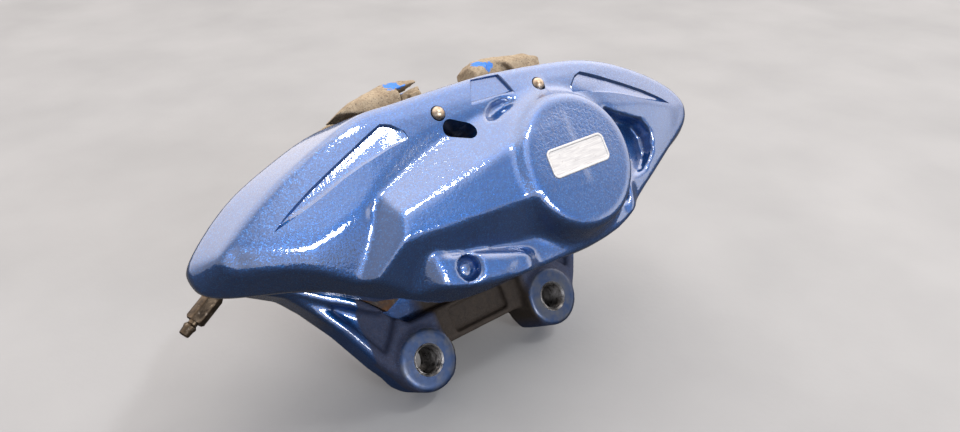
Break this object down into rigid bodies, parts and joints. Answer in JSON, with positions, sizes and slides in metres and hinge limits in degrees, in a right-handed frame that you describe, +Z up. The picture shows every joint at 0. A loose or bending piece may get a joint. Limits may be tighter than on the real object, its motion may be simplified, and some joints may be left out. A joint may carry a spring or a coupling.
{
  "type": "brake caliper",
  "caption": "Fixed disc brake caliper with opposed pistons, pads on pins, a pad spring, a bleed screw and threaded mounting ears, lying back on its ears.",
  "frame": {"origin": "middle of the assembly's box, at the level of the surface it lies on", "axes": "+X along the disc's rim, the caliper's length; +Z up with the caliper lying back on its two ears and its hose boss. The wheel axle's direction, from outboard to inboard, is (0, 0.805, -0.593)."},
  "size_m": [0.2722, 0.137, 0.156],
  "materials": {
    "housing_paint": "cast aluminium under deep metallic blue paint and gloss clear coat",
    "piston_metal": "hard anodised, satin",
    "seal_rubber": "matt black",
    "boot_rubber": "matt black",
    "backplate_steel": "black paint gone to surface rust",
    "friction_material": "coarse grey friction compound",
    "shim_steel": "black coated sheet",
    "rivet_steel": "dull, lightly rusted",
    "weight_iron": "rough casting with tan surface rust",
    "pin_steel": "bright, tinted ends",
    "sleeve_steel": "dull",
    "spring_steel": "satin spring steel",
    "bleed_steel": "brown, weathered plating",
    "badge_metal": "blank satin silver"
  },
  "bodies": {
    "housing": {"caliper_housing": "housing_paint", "outer_seal_left": "seal_rubber", "outer_seal_right": "seal_rubber", "outer_dust_boot_left": "boot_rubber", "outer_dust_boot_right": "boot_rubber", "inner_seal_left": "seal_rubber", "inner_seal_right": "seal_rubber", "inner_dust_boot_left": "boot_rubber", "inner_dust_boot_right": "boot_rubber", "pad_pin_left": "pin_steel", "pad_pin_right": "pin_steel", "pin_sleeve_left": "sleeve_steel", "pin_sleeve_right": "sleeve_steel", "spring_plate": "spring_steel", "badge": "badge_metal"},
    "outer_pad": {"outer_backplate": "backplate_steel", "outer_lining": "friction_material", "outer_shim": "shim_steel", "outer_weight_left": "weight_iron", "outer_weight_right": "weight_iron", "outer_weight_rivets": "rivet_steel"},
    "inner_pad": {"inner_backplate": "backplate_steel", "inner_lining": "friction_material", "inner_shim": "shim_steel", "inner_weight_left": "weight_iron", "inner_weight_right": "weight_iron", "inner_weight_rivets": "rivet_steel"},
    "outer_piston_left_body": {"outer_piston_left": "piston_metal"},
    "outer_piston_right_body": {"outer_piston_right": "piston_metal"},
    "inner_piston_left_body": {"inner_piston_left": "piston_metal"},
    "inner_piston_right_body": {"inner_piston_right": "piston_metal"},
    "bleed_screw_body": {"bleed_screw": "bleed_steel"}
  },
  "joints": [
    {"name": "outer_pad_slide", "type": "slide", "parent": "housing", "child": "outer_pad", "axis": [0, 0.8049, -0.5934], "range_m": [0, 0.007]},
    {"name": "inner_pad_slide", "type": "slide", "parent": "housing", "child": "inner_pad", "axis": [0, -0.8049, 0.5934], "range_m": [0, 0.007]},
    {"name": "outer_piston_left_slide", "type": "slide", "parent": "housing", "child": "outer_piston_left_body", "axis": [0, 0.8049, -0.5934], "range_m": [0, 0.007]},
    {"name": "outer_piston_right_slide", "type": "slide", "parent": "housing", "child": "outer_piston_right_body", "axis": [0, 0.8049, -0.5934], "range_m": [0, 0.007]},
    {"name": "inner_piston_left_slide", "type": "slide", "parent": "housing", "child": "inner_piston_left_body", "axis": [0, -0.8049, 0.5934], "range_m": [0, 0.007]},
    {"name": "inner_piston_right_slide", "type": "slide", "parent": "housing", "child": "inner_piston_right_body", "axis": [0, -0.8049, 0.5934], "range_m": [0, 0.007]},
    {"name": "bleed_screw_turn", "type": "hinge", "parent": "housing", "child": "bleed_screw_body", "pos_m": [-0.11694, 0.02392, 0.07172], "axis": [-0.853, -0.3098, -0.4201], "range_deg": [0, 180]}
  ],
  "couplings": [
    {"joint": "outer_piston_left_slide", "follows": "outer_pad_slide", "ratio": 1},
    {"joint": "outer_piston_right_slide", "follows": "outer_pad_slide", "ratio": 1},
    {"joint": "inner_piston_left_slide", "follows": "inner_pad_slide", "ratio": 1},
    {"joint": "inner_piston_right_slide", "follows": "inner_pad_slide", "ratio": 1}
  ]
}
